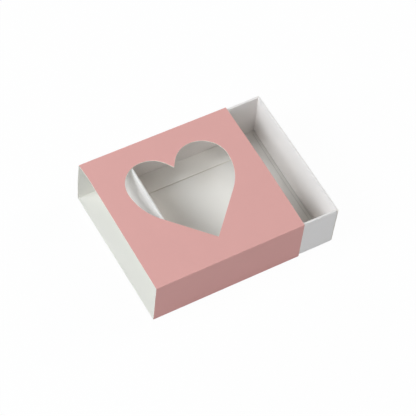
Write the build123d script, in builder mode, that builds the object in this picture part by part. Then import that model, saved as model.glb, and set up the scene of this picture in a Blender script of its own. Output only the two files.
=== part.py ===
from build123d import *
import math
import os

# A paperboard slide box: a glued sleeve with a heart-shaped window, and a folded tray with rolled
# double walls that slides through it. Each panel, flap and tab between two creases is a piece.
# X is the slide, with the tray drawn out towards +X. The front is -Y, and +Z is up.
# The origin is the middle of the sleeve's underside. Lengths are in millimetres, angles in degrees.

# Driving dimensions: the board and the sleeve
board = 0.45                  # thickness of the boxboard of both sheets
sleeve_length = 103.5         # along the slide
sleeve_width = 100.0          # outside, front to back
sleeve_height = 35.5          # outside
glue_flap_height = 15.0       # flap of the bottom panel, inside the front panel
glue_flap_taper = 4.0         # how far the flap's ends lean in at its free edge
glue_film = 0.1               # dried glue between that flap and the front panel
glue_margin = 2.0             # bare board around the glue

# Driving dimensions: the window
heart_width = 70.0
heart_height = 69.0
heart_dip = 12.0              # depth of the dip between the lobes
heart_flank_radius = 36.2     # bulge of the sides below the lobes
heart_shift = 0.5             # the heart's middle lies this far behind the panel's middle

# Driving dimensions: the tray
tray_pull = 26.1              # how far the tray is drawn out
tray_end_recess = 1.55        # from a sleeve end to a tray end when the box is shut
tray_front_play = 0.15        # running gaps between the tray and the sleeve
tray_back_play = 1.25
tray_floor_play = 0.2
tray_top_play = 0.3
floor_flap_width = 15.0       # flaps of the inner walls, lying on the floor
flap_corner_gap = 0.8         # from a flap's end to the next wall
flap_heel = 0.4               # square stretch beside a crease, before an end is cut at a slant
front_flap_slant = 11.0       # how far the ends of the front and back floor flaps lean in at the free edge
wall_end_play = 0.2           # at both ends of an inner wall
tab_length = 18.0             # corner tabs, caught inside the left and right walls
tab_taper = 4.0               # how far a tab's long edges lean in at its free end

# Inside faces of the sleeve
front_face = board - sleeve_width / 2
back_face = sleeve_width / 2 - board
roof_face = sleeve_height - board
seam_face = front_face + glue_film + board

# Outside faces of the tray
tray_length = sleeve_length - 2 * tray_end_recess
tray_left = tray_pull - tray_length / 2
tray_front = seam_face + tray_front_play
tray_back = back_face - tray_back_play
tray_width = tray_back - tray_front
tray_bottom = board + tray_floor_play
tray_top = roof_face - tray_top_play

# Inside corners of the tray's folds, and the levels that its layers reach
tray_middle = (tray_front + tray_back) / 2
front_fold = tray_front + board
left_fold = tray_left + board
floor_top = tray_bottom + board
flap_top = floor_top + board
roll_line = tray_top - board
wall_height = roll_line - floor_top

# Half lengths of the tray's pieces along their creases
front_outer_reach = tray_length / 2 - 2 * board
front_inner_reach = tray_length / 2 - 3 * board - wall_end_play
front_flap_reach = tray_length / 2 - 3 * board - flap_corner_gap
left_crease_reach = tray_width / 2 - board
left_inner_reach = left_crease_reach - wall_end_play
left_flap_reach = left_crease_reach - 2 * board - flap_corner_gap

# The ends of the left and right floor flaps run along those of the front and back ones
left_flap_slant = (floor_flap_width - flap_heel) ** 2 / front_flap_slant

# Planes that the tray is symmetric about
across_tray = Plane.YZ.offset(tray_pull)
along_tray = Plane.XZ.offset(-tray_middle)


def strip(low, high):
    """Draw a flat stretch of board in a section, from its lowest corner to its highest."""
    with Locations(low):
        Rectangle(high[0] - low[0], high[1] - low[1], align=Align.MIN)


def half_fold(corner, start, turn=45):
    """Draw a panel's half of a fold: a sector as thick as the board about the inside corner."""
    with BuildLine() as sector:
        outside = CenterArc(corner, board, start, turn)
        Polyline(outside @ 1, corner, outside @ 0)
    make_face(sector.edges())


def touch_point(start, centre, radius, side):
    """Find where a line from start touches a circle, anticlockwise (1) or clockwise (-1) of start."""
    spoke = Vector(start) - Vector(centre)
    turn = side * math.degrees(math.acos(radius / spoke.length))
    return Vector(centre) + spoke.normalized().rotate(Axis.Z, turn) * radius


def save(piece, name):
    """Label a finished piece and write it to its own file."""
    piece.part.label = name
    export_step(piece.part, f"parts/{name}.step")


def save_mirrored(piece, name, plane):
    """Make and write the matching piece on the other side of a plane."""
    with BuildPart() as twin:
        mirror(piece.part, about=plane)
    save(twin, name)
    return twin


def roll_in(side, opposite, section, between, fold, wall_reach, flap_reach, flap_slant):
    """Make a wall's ridge, inner wall and floor flap from its outer wall's fold, and their twins.

    The ridge is as wide as the board is thick, which leaves room inside the wall for the corner tabs.
    """
    inside = fold + board
    foot = inside + board
    with BuildPart() as ridge:
        with BuildSketch(section):
            strip((fold, roll_line), (inside, tray_top))
            half_fold((fold, roll_line), 90)
            half_fold((inside, roll_line), 45)
        extrude(amount=wall_reach, both=True)
    with BuildPart() as inner_wall:
        with BuildSketch(section):
            strip((inside, flap_top), (foot, roll_line))
            half_fold((inside, roll_line), 0)
            half_fold((foot, flap_top), 180)
        extrude(amount=wall_reach, both=True)
    with BuildPart() as floor_flap:
        with BuildSketch(section):
            strip((foot, floor_top), (foot + floor_flap_width, flap_top))
            half_fold((foot, flap_top), 225)
        extrude(amount=flap_reach, both=True)
        inwards = Axis((0, 0, 0), section.x_dir)
        free_edge = floor_flap.faces().sort_by(inwards)[-1]
        free_corners = free_edge.edges().filter_by(Axis.Z)
        chamfer(free_corners, flap_slant, floor_flap_width - flap_heel, reference=free_edge)
    for piece, name in ((ridge, "ridge"), (inner_wall, "inner_wall"), (floor_flap, "floor_flap")):
        save(piece, f"tray_{side}_{name}")
        save_mirrored(piece, f"tray_{opposite}_{name}", between)


os.makedirs("parts", exist_ok=True)

# Sleeve: top panel with the heart window
lobe_radius = heart_width / 4
heart_top = heart_shift + heart_height / 2
heart_tip = (0, heart_top - heart_height)
heart_cusp = (0, heart_top - heart_dip)
lobe_level = heart_top - lobe_radius
shoulder = (heart_width / 2, lobe_level)
lobe_start = touch_point(heart_cusp, (lobe_radius, lobe_level), lobe_radius, -1)
flank_centre = (heart_width / 2 - heart_flank_radius, lobe_level)
flank_end = touch_point(heart_tip, flank_centre, heart_flank_radius, 1)
with BuildPart() as sleeve_top_panel:
    with BuildSketch(Plane.YZ):
        strip((front_face, roof_face), (back_face, sleeve_height))
        half_fold((front_face, roof_face), 90)
        half_fold((back_face, roof_face), 45)
    extrude(amount=sleeve_length / 2, both=True)
    with BuildSketch(Plane.XY.offset(roof_face)):
        with BuildLine():
            Line(heart_cusp, lobe_start)
            TangentArc(lobe_start, shoulder, tangent=lobe_start - Vector(heart_cusp))
            TangentArc(shoulder, flank_end, tangent=(0, -1))
            Line(flank_end, heart_tip)
            mirror(about=Plane.YZ)
        make_face()
    extrude(amount=2 * board, both=True, mode=Mode.SUBTRACT)
save(sleeve_top_panel, "sleeve_top_panel")

# Sleeve: front panel, glued over the flap
with BuildPart() as sleeve_front_panel:
    with BuildSketch(Plane.YZ):
        strip((-sleeve_width / 2, 0), (front_face, roof_face))
        half_fold((front_face, roof_face), 135)
    extrude(amount=sleeve_length / 2, both=True)
save(sleeve_front_panel, "sleeve_front_panel")

# Sleeve: glue line of the seam
with BuildPart() as sleeve_seam_glue:
    with BuildSketch(Plane.YZ):
        strip((front_face, board + glue_margin),
              (front_face + glue_film, board + glue_flap_height - glue_margin))
    extrude(amount=sleeve_length / 2 - glue_flap_taper - glue_margin, both=True)
save(sleeve_seam_glue, "sleeve_seam_glue")

# Sleeve: glue flap, turned up from the bottom panel
with BuildPart() as sleeve_glue_flap:
    with BuildSketch(Plane.YZ):
        strip((seam_face - board, board), (seam_face, board + glue_flap_height))
        half_fold((seam_face, board), 180)
    extrude(amount=sleeve_length / 2, both=True)
    free_edge = sleeve_glue_flap.faces().sort_by(Axis.Z)[-1]
    free_corners = free_edge.edges().filter_by(Axis.Y)
    chamfer(free_corners, glue_flap_taper, glue_flap_height - flap_heel, reference=free_edge)
save(sleeve_glue_flap, "sleeve_glue_flap")

# Sleeve: bottom panel
with BuildPart() as sleeve_bottom_panel:
    with BuildSketch(Plane.YZ):
        strip((seam_face, 0), (back_face, board))
        half_fold((seam_face, board), 225)
        half_fold((back_face, board), 270)
    extrude(amount=sleeve_length / 2, both=True)
save(sleeve_bottom_panel, "sleeve_bottom_panel")

# Sleeve: back panel
with BuildPart() as sleeve_back_panel:
    with BuildSketch(Plane.YZ):
        strip((back_face, board), (sleeve_width / 2, roof_face))
        half_fold((back_face, roof_face), 0)
        half_fold((back_face, board), 315)
    extrude(amount=sleeve_length / 2, both=True)
save(sleeve_back_panel, "sleeve_back_panel")

# Tray: floor, with half of the fold to each outer wall
with BuildPart() as tray_floor:
    with BuildSketch(across_tray):
        strip((front_fold, tray_bottom), (front_fold + 2 * left_crease_reach, floor_top))
    extrude(amount=tray_length / 2 - board, both=True)
    with BuildSketch(across_tray):
        half_fold((front_fold, floor_top), 225)
    extrude(amount=front_outer_reach, both=True)
    with BuildSketch(along_tray):
        half_fold((left_fold, floor_top), 225)
    extrude(amount=left_crease_reach, both=True)
    mirror(about=across_tray)
    mirror(about=along_tray)
save(tray_floor, "tray_floor")

# Tray: outer walls. The front and back ones end in folds to the corner tabs
with BuildPart() as tray_front_outer_wall:
    with BuildSketch(across_tray):
        strip((tray_front, floor_top), (front_fold, roll_line))
        half_fold((front_fold, floor_top), 180)
        half_fold((front_fold, roll_line), 135)
    extrude(amount=front_outer_reach, both=True)
    with BuildSketch(Plane.XY.offset(floor_top)):
        half_fold((left_fold + board, front_fold), 225)
    extrude(amount=wall_height)
    mirror(about=across_tray)
save(tray_front_outer_wall, "tray_front_outer_wall")
save_mirrored(tray_front_outer_wall, "tray_back_outer_wall", along_tray)

with BuildPart() as tray_left_outer_wall:
    with BuildSketch(along_tray):
        strip((tray_left, floor_top), (left_fold, roll_line))
        half_fold((left_fold, roll_line), 135)
    extrude(amount=tray_width / 2, both=True)
    with BuildSketch(along_tray):
        half_fold((left_fold, floor_top), 180)
    extrude(amount=left_crease_reach, both=True)
save(tray_left_outer_wall, "tray_left_outer_wall")
save_mirrored(tray_left_outer_wall, "tray_right_outer_wall", across_tray)

# Tray: the layers rolled in from the outer walls
roll_in("front", "back", across_tray, along_tray,
        front_fold, front_inner_reach, front_flap_reach, front_flap_slant)
roll_in("left", "right", along_tray, across_tray,
        left_fold, left_inner_reach, left_flap_reach, left_flap_slant)

# Tray: corner tabs, folded from the front and back walls into the left and right walls
with BuildPart() as tray_front_left_corner_tab:
    with BuildSketch(Plane.XY.offset(floor_top)):
        strip((left_fold, front_fold), (left_fold + board, front_fold + tab_length))
        half_fold((left_fold + board, front_fold), 180)
    extrude(amount=wall_height)
    free_edge = tray_front_left_corner_tab.faces().sort_by(Axis.Y)[-1]
    free_corners = free_edge.edges().filter_by(Axis.X)
    chamfer(free_corners, tab_taper, tab_length - flap_heel, reference=free_edge)
save(tray_front_left_corner_tab, "tray_front_left_corner_tab")
tray_front_right_corner_tab = save_mirrored(
    tray_front_left_corner_tab, "tray_front_right_corner_tab", across_tray)
save_mirrored(tray_front_left_corner_tab, "tray_back_left_corner_tab", along_tray)
save_mirrored(tray_front_right_corner_tab, "tray_back_right_corner_tab", along_tray)
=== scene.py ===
import math

import bmesh
import bpy
from mathutils import Matrix, Vector


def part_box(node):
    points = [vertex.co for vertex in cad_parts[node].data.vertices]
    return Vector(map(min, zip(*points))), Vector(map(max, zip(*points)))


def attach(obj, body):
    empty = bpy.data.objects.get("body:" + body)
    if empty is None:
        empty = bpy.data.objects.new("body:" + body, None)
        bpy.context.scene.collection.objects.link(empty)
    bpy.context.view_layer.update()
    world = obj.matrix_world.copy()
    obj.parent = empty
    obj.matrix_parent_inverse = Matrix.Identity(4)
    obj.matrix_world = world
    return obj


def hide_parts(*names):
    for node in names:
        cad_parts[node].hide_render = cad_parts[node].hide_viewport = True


# A slide box of folded board: a pink sleeve with a heart-shaped window, and a white tray drawn out of it.
# Every panel, flap and tab keeps its CAD place. Blender adds the spring of the folded board, eased cut
# edges and the finishes. Lengths are in metres, and angles in degrees where nothing else is said.

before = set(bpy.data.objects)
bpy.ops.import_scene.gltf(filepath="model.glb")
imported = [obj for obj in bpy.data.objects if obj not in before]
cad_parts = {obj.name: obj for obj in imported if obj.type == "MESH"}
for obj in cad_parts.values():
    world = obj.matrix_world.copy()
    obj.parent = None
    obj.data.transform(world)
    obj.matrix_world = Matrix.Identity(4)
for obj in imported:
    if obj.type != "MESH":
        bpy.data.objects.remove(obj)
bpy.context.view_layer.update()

MM = 0.001
X, Y, Z = Vector((1, 0, 0)), Vector((0, 1, 0)), Vector((0, 0, 1))

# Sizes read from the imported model
sleeve_half_length, sleeve_half_width, sleeve_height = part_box("sleeve_top_panel")[1]
floor_low, floor_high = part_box("tray_floor")
wall_low, wall_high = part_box("tray_front_inner_wall")
tray_middle = (floor_low + floor_high) / 2
tray_half = (floor_high - floor_low) / 2
wall_middle = (wall_low + wall_high) / 2
wall_half = (wall_high - wall_low) / 2

# How far the sleeve's board springs out of flat. Starts are in half lengths or half widths of the sleeve
top_rise = 1.05 * MM          # the top panel arches up at the end that the tray comes out of
rise_start = -0.3             # where along the sleeve that arch starts
sleeve_twist = 0.0085         # turn of the sleeve's top against its bottom, in radians
corner_run_out = 0.75 * MM    # the sleeve's back left corner stands out at its top
run_out_left_start = -0.6     # where along the sleeve that starts
run_out_back_start = 0.76     # and where across it

# How far the tray's board springs out of flat
tray_spread = 0.52 * MM       # the front and back walls spring apart where they have left the sleeve
spread_start = 0.85           # where along the sleeve that starts, in its half lengths
spread_end = 1.12             # and where it is full
wall_swell = 0.3 * MM         # the inner walls swell in
wall_lean = 0.2 * MM          # the top edge of the right wall bows out
left_wall_lean = 0.68 * MM    # and that of the left wall, most towards the front
left_lean_middle = -20 * MM   # where along Y it bows out most
left_lean_reach = 60 * MM     # and how far on from there it ends
foot_bow_reach = 50 * MM      # half the length over which the feet of the inner walls stand in
corner_fill = 0.2 * MM        # the inner walls reach into the corners

# For each side of the tray: the way in from its wall, how far the wall's foot stands in and where along
# the wall it does so most, and the lift of its floor flap at the left or front end and at the other end
tray_sides = {
    "front": (Y, 0.6 * MM, 25 * MM, 0.2 * MM, 0.2 * MM),
    "back": (-Y, 1.2 * MM, 40 * MM, 0.5 * MM, 0.05 * MM),
    "left": (X, 0.6 * MM, 0 * MM, 0.25 * MM, 0.3 * MM),
    "right": (-X, 0.6 * MM, -5 * MM, 0.3 * MM, 0.2 * MM),
}

# Cut edges, and the lines pressed into the right floor flap
bare_ease = 0.05 * MM         # rounding of the cut edges of bare board
print_ease = 0.18 * MM        # of printed board, where the white core shows
flap_ease = 0.2 * MM          # and of the floor flaps, whose free edges are crushed
score_half_width = 0.3 * MM
score_depth = 0.2 * MM
score_points = (Vector((72.2, 0, 0)) * MM, Vector((74.4, 0, 0)) * MM)
score_across = Vector((1, -0.015, 0)).normalized()

# Meshes
lattice_step = 5 * MM                 # distance between the cuts that let a piece bend
weld_distance = 1e-7                  # points nearer than this are one
level_distance = 1e-6                 # points nearer than this to a piece's top lie in it
merge_angle = math.radians(0.3)       # faces that meet flatter than this are one before the cuts
rim_angle = math.radians(60)          # edges of a cut side that are sharper than this are eased
sharp_angle = math.radians(35)        # edges sharper than this look sharp
print_slot, board_slot, edge_slot = range(3)

# Make of the board
cloud_size = 14 * MM          # blots of the pulp
grain_size = 0.45 * MM
fibre_width = 0.22 * MM
fibre_length = 9              # in fibre widths
fibre_depth = 1.6             # in fibre widths
pressed_shade_share = 0.75          # what is left of the tone on a pressed line, as painted shade of its groove
grain_roughness = 0.16        # how much the roughness changes over the grain
board_gloss = 0.3
bump_strength = 0.5


class Socket:
    """A shader value that can stand in sums: each operator adds a Math node."""

    def __init__(self, finish, socket):
        self.finish = finish
        self.socket = socket

    def maths(self, operation, first, second):
        return self.finish.node("ShaderNodeMath", {"operation": operation}, {0: first, 1: second})

    def __add__(self, other):
        return self.maths("ADD", self, other)

    def __sub__(self, other):
        return self.maths("SUBTRACT", self, other)

    def __rsub__(self, other):
        return self.maths("SUBTRACT", other, self)

    def __mul__(self, other):
        return self.maths("MULTIPLY", self, other)

    __radd__ = __add__
    __rmul__ = __mul__


class Finish:
    """A material or world under construction."""

    def __init__(self, owner):
        owner.use_nodes = True
        self.owner = owner
        self.tree = owner.node_tree
        self.tree.nodes.clear()

    def node(self, kind, settings, inputs, output=0):
        """Add a node: its settings first, then the values or links of its sockets."""
        made = self.tree.nodes.new(kind)
        for name, value in settings.items():
            setattr(made, name, value)
        for name, value in inputs.items():
            if isinstance(value, Socket):
                self.tree.links.new(value.socket, made.inputs[name])
            else:
                made.inputs[name].default_value = value
        return Socket(self, made.outputs[output]) if len(made.outputs) else None

    def place(self):
        """Give the position on the piece, in metres."""
        return self.node("ShaderNodeTexCoord", {}, {}, "Object")

    def noise(self, size, stretch=(1, 1, 1), detail=4.0, roughness=0.55):
        """Give a cloud of values about 0.5 whose blots are about that size, longer where stretched."""
        scale = [1 / (size * way) for way in stretch]
        scaled = self.node("ShaderNodeMapping", {}, {"Vector": self.place(), "Scale": scale})
        return self.node("ShaderNodeTexNoise", {"noise_dimensions": "3D"},
                         {"Vector": scaled, "Scale": 1.0, "Detail": detail, "Roughness": roughness})

    def blend(self, share, first, second):
        """Mix two colours."""
        return self.node("ShaderNodeMix", {"data_type": "RGBA"},
                         {"Factor": share, "A": first, "B": second}, "Result")

    def bump(self, height, depth, strength):
        """Give the normal of a surface that stands up by its height times the depth."""
        return self.node("ShaderNodeBump", {},
                         {"Height": height, "Distance": depth, "Strength": strength})

    def background_rays(self):
        """Give 1 on the rays that show the background: seen straight, in a gloss or through glass."""
        rays = [self.node("ShaderNodeLightPath", {}, {}, f"Is {kind} Ray")
                for kind in ("Camera", "Glossy", "Transmission")]
        return rays[0].maths("MINIMUM", rays[0] + rays[1] + rays[2], 1.0)

    def surface(self, shader):
        """Show a shader, and give the finished material."""
        self.node("ShaderNodeOutputMaterial", {}, {"Surface": shader})
        return self.owner


def colour(red, green, blue):
    return (red, green, blue, 1.0)


def board_finish(name, tone, depth, roughness, grain_depth):
    """Make the finish of a sheet of board: clouded pulp, fine grain and short pressed fibres, with painted
    shade on its pressed lines.
    """
    finish = Finish(bpy.data.materials.new(name))
    cloud = finish.noise(cloud_size)
    grain = finish.noise(grain_size, roughness=0.65)
    fibres_along = finish.noise(fibre_width, stretch=(fibre_length, 1, fibre_depth), detail=2.0)
    fibres_across = finish.noise(fibre_width, stretch=(1, fibre_length, fibre_depth), detail=2.0)
    fibres = fibres_along + fibres_across - 0.5
    shade = 0.5 * cloud + 0.3 * grain + 0.2 * fibres
    pale = colour(*(min(1, part * (1 + depth)) for part in tone))
    deep = colour(*(part * (1 - depth) for part in tone))
    # Painted shade: the pressed lines are darkened in the colour, for the shade in their grooves
    pressed_shade_colour = colour(*(pressed_shade_share * part for part in tone))
    pressed_shade_mask = finish.node("ShaderNodeAttribute", {"attribute_name": "pressed_shade_mask"}, {}, "Fac")
    surface = finish.node("ShaderNodeBsdfPrincipled", {}, {
        "Base Color": finish.blend(pressed_shade_mask, finish.blend(shade, deep, pale), pressed_shade_colour),
        "Roughness": roughness + grain_roughness * (grain - 0.5),
        "Specular IOR Level": board_gloss,
        "Normal": finish.bump(0.6 * grain + 0.4 * fibres, grain_depth, bump_strength),
    })
    return finish.surface(surface)


# Finishes. The tray's ridges are board painted darker with shade, and the left one darker still with more
# painted shade
pink_print = board_finish("pink_print", (0.76, 0.39, 0.362), 0.05, 0.72, 0.03 * MM)
sleeve_lining = board_finish("sleeve_lining", (0.90, 0.878, 0.819), 0.035, 0.8, 0.04 * MM)
bare_board = board_finish("bare_board", (0.911, 0.863, 0.842), 0.035, 0.8, 0.04 * MM)
# Painted light: the floor and its flaps get a greener copy of the tray's board, for the tint of the light
# that falls on them
floor_board = board_finish("floor_board", (0.906, 0.872, 0.829), 0.035, 0.8, 0.04 * MM)
# Painted shade: the ridges' board is darker than the walls' board
ridge_shade_board = board_finish("ridge_shade_board", (0.855, 0.811, 0.791), 0.05, 0.85, 0.06 * MM)
# Painted shade: the left ridge, under the sleeve, is darker again
deep_ridge_shade_board = board_finish("deep_ridge_shade_board", (0.77, 0.731, 0.713), 0.05, 0.85, 0.06 * MM)
cut_edge = board_finish("cut_edge", (0.90, 0.855, 0.765), 0.08, 0.9, 0.08 * MM)
dried_glue = board_finish("dried_glue", (0.74, 0.70, 0.58), 0.06, 0.4, 0.05 * MM)


def smooth_step(low, high, value):
    """Rise smoothly from 0 at low to 1 at high."""
    share = min(1, max(0, (value - low) / (high - low)))
    return share * share * (3 - 2 * share)


def arch(value, half):
    """Give a low arch: 1 in the middle and 0 at both ends."""
    return max(0, 1 - (value / half) ** 2)


def cut_lattice(shape, low, high, scores):
    """Cut a piece into a lattice that can bend, and along the middle and sides of its pressed lines."""
    cuts = []
    for axis in (X, Y, Z):
        reach = (high - low).dot(axis)
        steps = max(1, round(reach / lattice_step))
        cuts += [(low + axis * reach * step / steps, axis) for step in range(1, steps)]
    for point in scores:
        cuts += [(point + score_across * offset, score_across)
                 for offset in (-score_half_width, 0, score_half_width)]
    for point, across in cuts:
        bmesh.ops.bisect_plane(shape, geom=[*shape.verts, *shape.edges, *shape.faces],
                               plane_co=point, plane_no=across, dist=weld_distance)


def press_scores(shape, top, scores):
    """Press lines into the upper side of a piece, and mark them for the painted shade in its finish."""
    pressed_shade_mask = shape.verts.layers.float.new("pressed_shade_mask")
    for point in scores:
        for vert in shape.verts:
            on_line = abs((vert.co - point).dot(score_across)) < 0.1 * score_half_width
            if on_line and vert.co.z > top - level_distance:
                vert.co.z -= score_depth
                vert[pressed_shade_mask] = 1.0


def sort_faces(shape, sides, printed):
    """Tell the printed side, the bare side and the cut edges of a sheet apart."""
    shape.normal_update()
    for face in shape.faces:
        face.smooth = True
        edge_on = max(abs(face.normal.dot(axis)) for axis in sides) < 0.5
        bare = printed is None or face.normal.dot(printed) < 0
        face.material_index = edge_slot if edge_on else board_slot if bare else print_slot


def ease_rims(shape, ease):
    """Round the rims of the cut edges."""
    rims = [edge for edge in shape.edges
            if edge_slot in [face.material_index for face in edge.link_faces]
            and edge.calc_face_angle(0) > rim_angle]
    eased = bmesh.ops.bevel(shape, geom=rims, offset=ease, offset_type="OFFSET", segments=2, profile=0.5,
                            affect="EDGES", material=-1, clamp_overlap=True)
    for face in eased["faces"]:
        face.material_index = edge_slot


def dressed(node, sides, spring, board=bare_board, ease=bare_ease, printed=None, scores=()):
    """Stand a finer copy of a CAD piece in its place: cut into a lattice, sprung, its cut edges eased.

    sides are the axes that the sheet's two sides face, and printed is the direction of its printed side.
    scores are points on the lines that are pressed into its upper side.
    """
    low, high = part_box(node)
    shape = bmesh.new()
    shape.from_mesh(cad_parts[node].data)
    bmesh.ops.remove_doubles(shape, verts=shape.verts, dist=weld_distance)
    bmesh.ops.dissolve_limit(shape, angle_limit=merge_angle, verts=shape.verts, edges=shape.edges)
    cut_lattice(shape, low, high, scores)
    press_scores(shape, high.z, scores)
    for vert in shape.verts:
        vert.co += spring(vert.co)
    sort_faces(shape, sides, printed)
    ease_rims(shape, ease)
    mesh = bpy.data.meshes.new(node + "_board")
    shape.to_mesh(mesh)
    shape.free()
    mesh.set_sharp_from_angle(angle=sharp_angle)
    for finish in (pink_print, board, cut_edge):
        mesh.materials.append(finish)
    piece = bpy.data.objects.new(node + "_board", mesh)
    bpy.context.scene.collection.objects.link(piece)
    flatten = piece.modifiers.new("flat_panels", "WEIGHTED_NORMAL")
    flatten.keep_sharp = True
    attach(piece, "tray" if node.startswith("tray") else "sleeve")
    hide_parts(node)


# Sleeve
def twisted(point):
    """The top turns against the bottom, and the back left corner runs out. The front edge stays in line."""
    turn = sleeve_twist * point.z / sleeve_height
    back_share = 0.5 + 0.5 * point.y / sleeve_half_width
    corner = (smooth_step(run_out_left_start * sleeve_half_length, -sleeve_half_length, point.x)
              * smooth_step(run_out_back_start * sleeve_half_width, sleeve_half_width, point.y))
    run_out = corner_run_out * corner * min(1, 2 * point.z / sleeve_height)
    return Vector((turn * point.y - run_out, -turn * point.x * back_share, 0))


def arched(point):
    """The top panel arches up as well, more and more towards the end that the tray comes out of."""
    drawn = smooth_step(rise_start * sleeve_half_length, sleeve_half_length, point.x)
    return twisted(point) + Z * top_rise * arch(point.y, sleeve_half_width) * drawn


dressed("sleeve_top_panel", [Z], arched, sleeve_lining, print_ease, Z)
dressed("sleeve_front_panel", [Y], twisted, sleeve_lining, print_ease, -Y)
dressed("sleeve_bottom_panel", [Z], twisted, sleeve_lining, print_ease, -Z)
dressed("sleeve_back_panel", [Y], twisted, sleeve_lining, print_ease, Y)
dressed("sleeve_glue_flap", [Y], twisted, sleeve_lining, print_ease, -Y)
seam_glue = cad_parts["sleeve_seam_glue"]
seam_glue.data.materials.clear()
seam_glue.data.materials.append(dried_glue)


# Tray
def along_wall(inwards):
    """Give the way along a wall from the way in from it."""
    return Vector((abs(inwards.y), abs(inwards.x), 0))


def spread(point):
    """The front and back walls spring apart where they have left the sleeve."""
    out = smooth_step(spread_start * sleeve_half_length, spread_end * sleeve_half_length, point.x)
    return Y * tray_spread * out * (point.y - tray_middle.y) / tray_half.y


def leaning(point):
    """The top edges of the left and right walls bow out as well."""
    height = max(0, point.z - floor_high.z) / (wall_high.z - floor_high.z)
    side = (point.x - tray_middle.x) / tray_half.x
    if side > 0:
        bow = wall_lean * arch(point.y - tray_middle.y, tray_half.y)
    else:
        bow = left_wall_lean * arch(point.y - left_lean_middle, left_lean_reach)
    return spread(point) + X * bow * height * side * abs(side)


def bowed(inwards, bow, middle):
    """The foot of an inner wall stands in from the fold of its outer wall, most at its middle."""
    along = along_wall(inwards)

    def spring(point):
        return inwards * bow * arch(point.dot(along) - middle, foot_bow_reach)
    return spring


def swollen(inwards, foot):
    """An inner wall leans in to its foot, swells a little and fills the corners at its ends."""
    along = along_wall(inwards)

    def spring(point):
        offset = point - Vector((tray_middle.x, tray_middle.y, wall_middle.z))
        out = offset.dot(along) / tray_half.dot(along)
        swell = inwards * wall_swell * arch(offset.z, wall_half.z) * arch(out, 1)
        lowness = 0.5 - 0.5 * offset.z / wall_half.z
        return leaning(point) + swell + (foot(point) - spread(point)) * lowness + along * corner_fill * out
    return spring


def filling(inwards):
    """A ridge fills the corners at its ends."""
    along = along_wall(inwards)

    def spring(point):
        return leaning(point) + along * corner_fill * (point - tray_middle).dot(along) / tray_half.dot(along)
    return spring


def lifted(node, inwards, foot, first, last):
    """A floor flap turns up about its crease, by its first lift at the left or front end.

    At its other end it turns up by its last lift.
    """
    low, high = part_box(node)
    size, along = high - low, along_wall(inwards)
    crease = low if inwards.x + inwards.y > 0 else high

    def spring(point):
        out = (point - crease).dot(inwards) / abs(size.dot(inwards))
        share = (point - low).dot(along) / size.dot(along)
        return foot(point) * (1 - out) + Z * out * (first + (last - first) * share)
    return spring


# The floor and its flaps take the copy of the board painted with the light's tint
dressed("tray_floor", [Z], spread, floor_board)
for side, (inwards, bow, middle, first, last) in tray_sides.items():
    flap = f"tray_{side}_floor_flap"
    foot = bowed(inwards, bow, middle)
    dressed(f"tray_{side}_outer_wall", [inwards], leaning)
    # The ridges carry painted shade in their colour, the left one most
    dressed(f"tray_{side}_ridge", [Z], filling(inwards), deep_ridge_shade_board if side == "left" else ridge_shade_board)
    dressed(f"tray_{side}_inner_wall", [inwards], swollen(inwards, foot))
    dressed(flap, [Z], lifted(flap, inwards, foot, first, last), floor_board, flap_ease,
            scores=score_points if side == "right" else ())
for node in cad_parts:
    if node.endswith("corner_tab"):
        dressed(node, [X, Y], leaning)

# Floor: it shows as white, and keeps a faint shadow
white = colour(1, 1, 1)
floor_size = 4.0
glow_share = 0.97             # of what is seen; the rest takes the shadow
floor_finish = Finish(bpy.data.materials.new("floor_white"))
glow = floor_finish.node("ShaderNodeEmission", {}, {"Color": white, "Strength": 1.0})
pale = floor_finish.node("ShaderNodeBsdfDiffuse", {}, {"Color": colour(0.85, 0.85, 0.85)})
grey = floor_finish.node("ShaderNodeBsdfDiffuse", {}, {"Color": colour(0.45, 0.45, 0.45)})
seen = floor_finish.node("ShaderNodeMixShader", {}, {0: glow_share, 1: pale, 2: glow})
floor_finish.surface(floor_finish.node("ShaderNodeMixShader", {},
                                       {0: floor_finish.background_rays(), 1: grey, 2: seen}))

floor_shape = bmesh.new()
bmesh.ops.create_grid(floor_shape, x_segments=1, y_segments=1, size=floor_size)
floor_mesh = bpy.data.meshes.new("floor")
floor_shape.to_mesh(floor_mesh)
floor_shape.free()
floor_mesh.materials.append(floor_finish.owner)
floor = bpy.data.objects.new("floor", floor_mesh)
bpy.context.scene.collection.objects.link(floor)


# Light
def direction(azimuth, elevation):
    """Point from the object towards a place round it: azimuth 0 is the front, 90 the right."""
    turn, rise = math.radians(azimuth), math.radians(elevation)
    return Vector((math.sin(turn) * math.cos(rise), -math.cos(turn) * math.cos(rise), math.sin(rise)))


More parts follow.
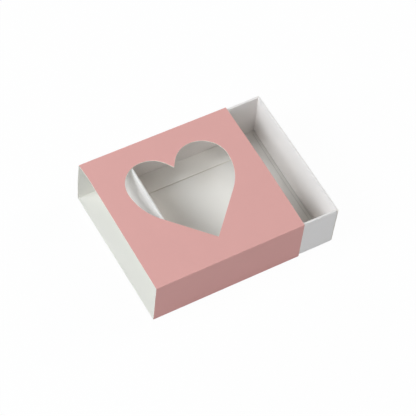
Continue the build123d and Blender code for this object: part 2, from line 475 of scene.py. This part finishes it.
def lamp(name, azimuth, elevation, share, width, height, tint):
    """Hang a soft box that lights a surface facing it to that share of full white."""
    light = bpy.data.lights.new(name, "AREA")
    light.shape = "RECTANGLE"
    light.size = width
    light.size_y = height
    light.color = tint
    light.energy = share * (math.pi * lamp_distance) ** 2
    hung = bpy.data.objects.new(name, light)
    towards = direction(azimuth, elevation)
    hung.location = towards * lamp_distance
    hung.rotation_euler = towards.to_track_quat("Z", "Y").to_euler()
    hung.visible_camera = False
    bpy.context.scene.collection.objects.link(hung)


lamp_distance = 1.5
cool, plain = (0.935, 1.0, 1.04), (0.985, 1.0, 0.977)

# Key lights on the left: azimuth, elevation, share and size
for azimuth, elevation, share, size in (
    (-90, 20, 0.124, 0.25),
    (-90, 34, 0.138, 0.2),
    (-90, 46, 0.139, 0.2),
    (-90, 52, 0.097, 0.2),
    (-108, 40, 0.136, 0.25),
    (-108, 52, 0.082, 0.25),
    (-72, 40, 0.08, 0.25),
    (-48, 48, 0.064, 0.35),
):
    lamp(f"key_{-azimuth}_{elevation}", azimuth, elevation, share, size, size, cool)

# Fill lights: those on the right by elevation, share and size
for elevation, share, size in ((20, 0.231, 0.5), (35, 0.196, 0.6), (50, 0.147, 0.6)):
    lamp(f"right_fill_{elevation}", 90, elevation, share, size, size, plain)
lamp("front_fill", 0, 3, 0.333, 1.2, 0.15, cool)
lamp("back_fill", 180, 15, 0.334, 0.6, 0.6, cool)

# World: white where it is seen, and no light of its own
world = bpy.data.worlds.new("studio")
bpy.context.scene.world = world
sky = Finish(world)
backdrop = sky.node("ShaderNodeBackground", {}, {"Color": white, "Strength": sky.background_rays()})
sky.node("ShaderNodeOutputWorld", {}, {"Surface": backdrop})

# Camera
camera_azimuth, camera_elevation, camera_roll = -36.377, 55.47, math.radians(8.435)
camera_distance = 1.288213
aim_right, aim_up = 0.012832, 0.011896
back = direction(camera_azimuth, camera_elevation)
level = Z.cross(back).normalized()
right = math.cos(camera_roll) * level + math.sin(camera_roll) * back.cross(level)
up = back.cross(right)
aim = aim_right * right + aim_up * up
camera_data = bpy.data.cameras.new("camera")
camera_data.lens = 177.47
camera_data.sensor_width = 36.0
camera = bpy.data.objects.new("camera", camera_data)
camera.matrix_world = (Matrix.Translation(aim + back * camera_distance)
                       @ Matrix((right, up, back)).transposed().to_4x4())
bpy.context.scene.collection.objects.link(camera)
bpy.context.scene.camera = camera
bpy.context.scene.view_settings.view_transform = "Standard"
